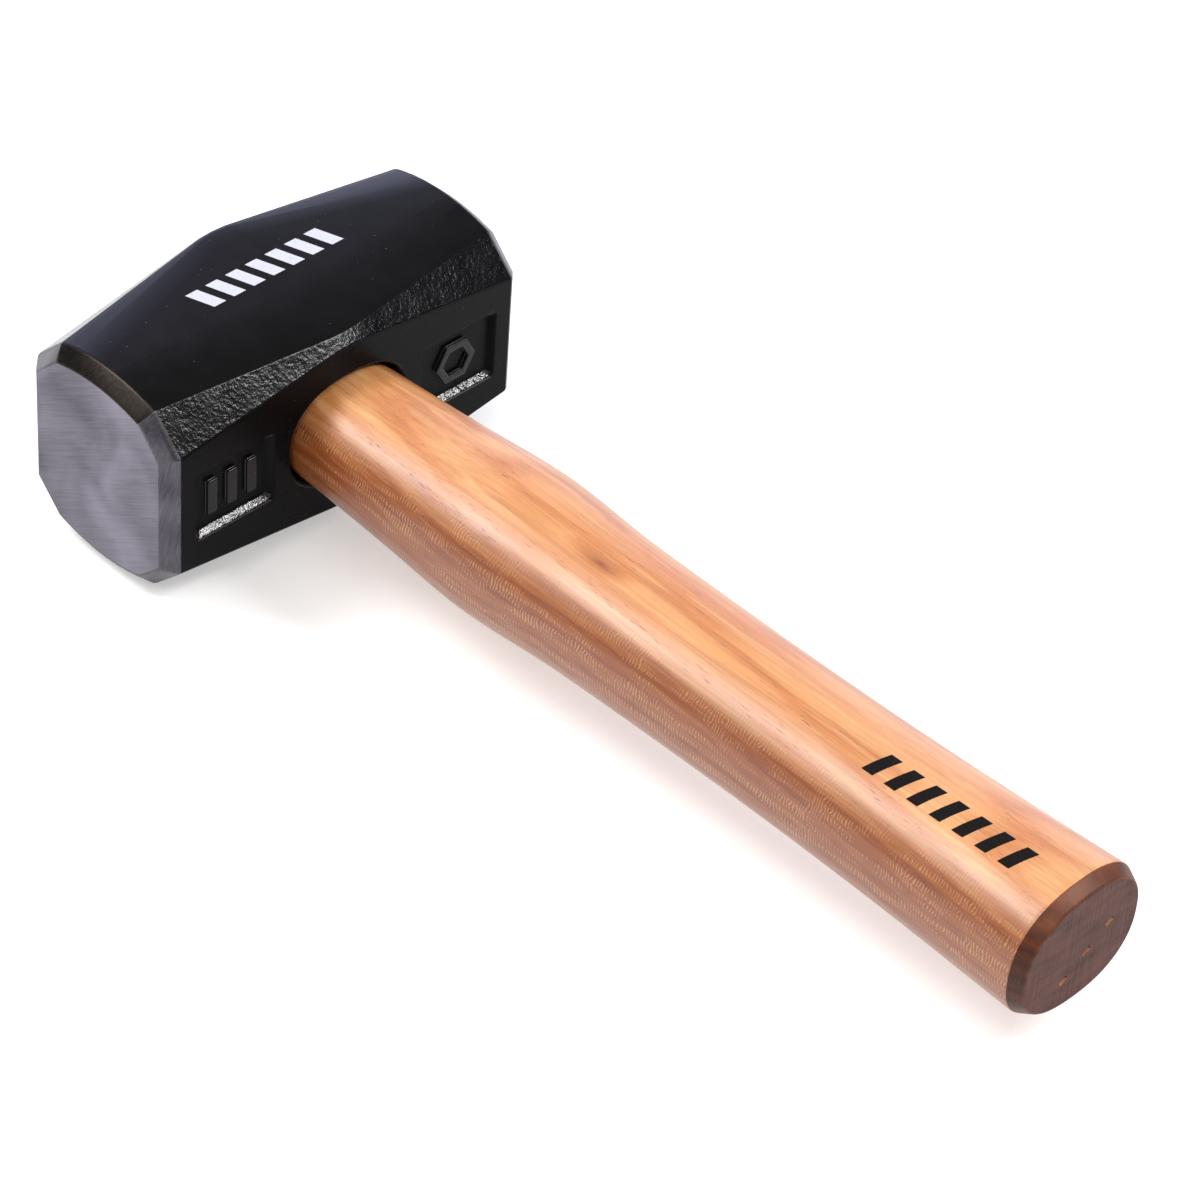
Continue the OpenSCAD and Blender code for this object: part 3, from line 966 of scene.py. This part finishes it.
cheek_print = print_bars(
    "cheek_print", 7, 6.1, (3.6, 7.4), -0.35,
    place=lambda along, across: (CHEEK_PRINT_X - across, along),
    surface=cheek_height,
)
grip_print = print_bars(
    "grip_print", 7, 6.5, (3.2, 7.2), 0.3,
    place=lambda along, across: (GRIP_PRINT_AT[0] + along, GRIP_PRINT_AT[1] + across),
    surface=grip_top,
)
print("prints:", len(cheek_print.data.polygons), "and", len(grip_print.data.polygons), "faces")

# %% Ink the prints
for piece, finish, slot in (
    (cheek_print, ink("white_screen_ink", "#b6b8c2", "#77777f", 0.5, 0.5), "head_paint"),
    (grip_print, ink("black_stamping_ink", "#070505", "#4a2c1c", 0.7, 0.4), "handle_wood"),
):
    piece.data.materials.append(finish)
    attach(piece, "root")

# %% [markdown]
# ## The studio
# The hammer lies on a white sheet under large soft boxes. Polished enamel shows its
# surroundings more than its own colour, so the boxes are placed for their reflections: a tall
# one beyond the far end lights the long rounded edge between cheek and chamfer, and a broad
# one over the head lays a pale band along the grip. The sheet is matt paper on a light table,
# lit from beneath as well as from above, so the shadow on it stays faint.

# %% A white sheet to lie on
FLOOR_HALF = 12.0
PAPER_CLOUD_MM = 40
LIT_FROM_BENEATH = 0.42
sheet = bmesh.new()
bmesh.ops.create_grid(sheet, x_segments=1, y_segments=1, size=FLOOR_HALF)
floor_mesh = bpy.data.meshes.new("floor")
sheet.to_mesh(floor_mesh)
sheet.free()
floor = bpy.data.objects.new("floor", floor_mesh)
bpy.context.scene.collection.objects.link(floor)
paper, paper_at = new_material("white_sheet")
fibres = add(paper, "ShaderNodeTexNoise", {
    "Vector": paper_at, "Scale": 1 / PAPER_CLOUD_MM, "Detail": 2.0,
})
paper_tone = add(paper, "ShaderNodeMix", {
    SHARE: fibres, UNDER: colour("#cfcfcf"), OVER: colour("#d3d3d3"),
}, data_type="RGBA")
surface_out(
    paper, Base_Color=paper_tone, Roughness=0.95,
    Emission_Color=(1, 1, 1, 1), Emission_Strength=LIT_FROM_BENEATH,
)
floor_mesh.materials.append(paper)

# %% Soft boxes and the room's own light
BOXES = (
    # name, direction it lights from, distance in m, width and height in m, watts
    ("box_over_head", (-0.51, -0.33, 0.79), 1.5, (0.6, 0.6), 14),
    ("box_far_corner", (0.53, 0.44, 0.73), 1.5, (0.26, 0.45), 14),
)


def looking_from(azimuth, elevation):
    a, e = math.radians(azimuth), math.radians(elevation)
    return Vector((math.sin(a) * math.cos(e), -math.cos(a) * math.cos(e), math.sin(e)))


for name, direction, distance, (width, height), watts in BOXES:
    lamp = bpy.data.lights.new(name, "AREA")
    lamp.shape = "RECTANGLE"
    lamp.size, lamp.size_y = width, height
    lamp.energy = watts
    holder = bpy.data.objects.new(name, lamp)
    bpy.context.scene.collection.objects.link(holder)
    towards = Vector(direction).normalized()
    holder.location = MID + towards * distance
    holder.rotation_mode = "QUATERNION"
    holder.rotation_quaternion = towards.to_track_quat("Z", "Y")
    print(f"{name}: {watts} W at {distance} m")

# %% [markdown]
# The room is bright high up on the side of the near face, which fills the shadows. Beyond the
# far face its wall is bright and slightly blue towards the top of the head, dim towards the
# butt, and the ceiling is darker than the wall. The cheeks are crowned, so their upper part
# mirrors the bright wall and their lower part the dark ceiling, which is what gives black
# enamel its shape.

# %% Light the room
ROOM_LOW = ("#a8acc8", 3.2)
ROOM_HIGH = ("#948a84", 0.95)
ROOM_REST = 0.12
ROOM_NEAR = ("#f6f4f2", 2.2)
ROOM_NEAR_LOW = 0.12
ROOM_TURNS = (
    # axis of the direction, and where along it the light starts and ends its change
    ("Z", 0.3, 0.75), ("Z", 0.35, 0.8), ("X", -0.25, 0.15), ("Y", 0.3, -0.2),
)
wall, ceiling, near = (
    Vector(colour(code)) * level for code, level in (ROOM_LOW, ROOM_HIGH, ROOM_NEAR)
)
world = bpy.data.worlds.new("studio")
world.use_nodes = True
world.node_tree.nodes.clear()
sky = add(world, "ShaderNodeTexCoord", {}).outputs["Generated"]
way = add(world, "ShaderNodeSeparateXYZ", {"Vector": sky}).outputs
overhead, climb, beyond, nearness = (
    add(world, "ShaderNodeMapRange", {
        "Value": way[axis], "From Min": start, "From Max": end,
    }, interpolation_type="SMOOTHSTEP")
    for axis, start, end in ROOM_TURNS
)
near_half = add(world, "ShaderNodeMix", {
    SHARE: climb, UNDER: near * ROOM_NEAR_LOW, OVER: near,
}, data_type="RGBA")
wall_side = add(world, "ShaderNodeMix", {
    SHARE: beyond, UNDER: wall, OVER: wall * ROOM_REST,
}, data_type="RGBA")
far_half = add(world, "ShaderNodeMix", {
    SHARE: overhead, UNDER: wall_side, OVER: ceiling,
}, data_type="RGBA")
glow = add(world, "ShaderNodeMix", {
    SHARE: nearness, UNDER: far_half, OVER: near_half,
}, data_type="RGBA")
room = add(world, "ShaderNodeBackground", {"Color": glow, "Strength": 1.0})
add(world, "ShaderNodeOutputWorld", {"Surface": room})
bpy.context.scene.world = world
bpy.context.scene.view_settings.view_transform = "Standard"
print("room lit by", len(world.node_tree.nodes), "nodes")

# %% [markdown]
# ## The camera
# A long lens from above the near face gives the calm perspective of a product picture. It is
# placed by its azimuth and elevation, and rolled a little about its own axis.

# %% Aim the camera
AZIMUTH, ELEVATION, ROLL = 42.93, 41.655, 4.373
AIM_RIGHT, AIM_UP, AIM_BACK = 0.0742, -0.0517, 1.134
back = looking_from(AZIMUTH, ELEVATION)
level = Vector((0, 0, 1)).cross(back).normalized()
rise = back.cross(level)
turn = math.radians(ROLL)
right = math.cos(turn) * level + math.sin(turn) * rise
up = math.cos(turn) * rise - math.sin(turn) * level
lens = bpy.data.cameras.new("camera")
lens.sensor_width = 36
lens.lens = 145.668
camera = bpy.data.objects.new("camera", lens)
bpy.context.scene.collection.objects.link(camera)
bpy.context.scene.camera = camera
camera.rotation_mode = "QUATERNION"
camera.rotation_quaternion = Matrix((right, up, back)).transposed().to_quaternion()
camera.location = MID + AIM_RIGHT * right + AIM_UP * up + AIM_BACK * back
lens.clip_start, lens.clip_end = 0.05, 20
print("camera at", [round(c, 4) for c in camera.location])
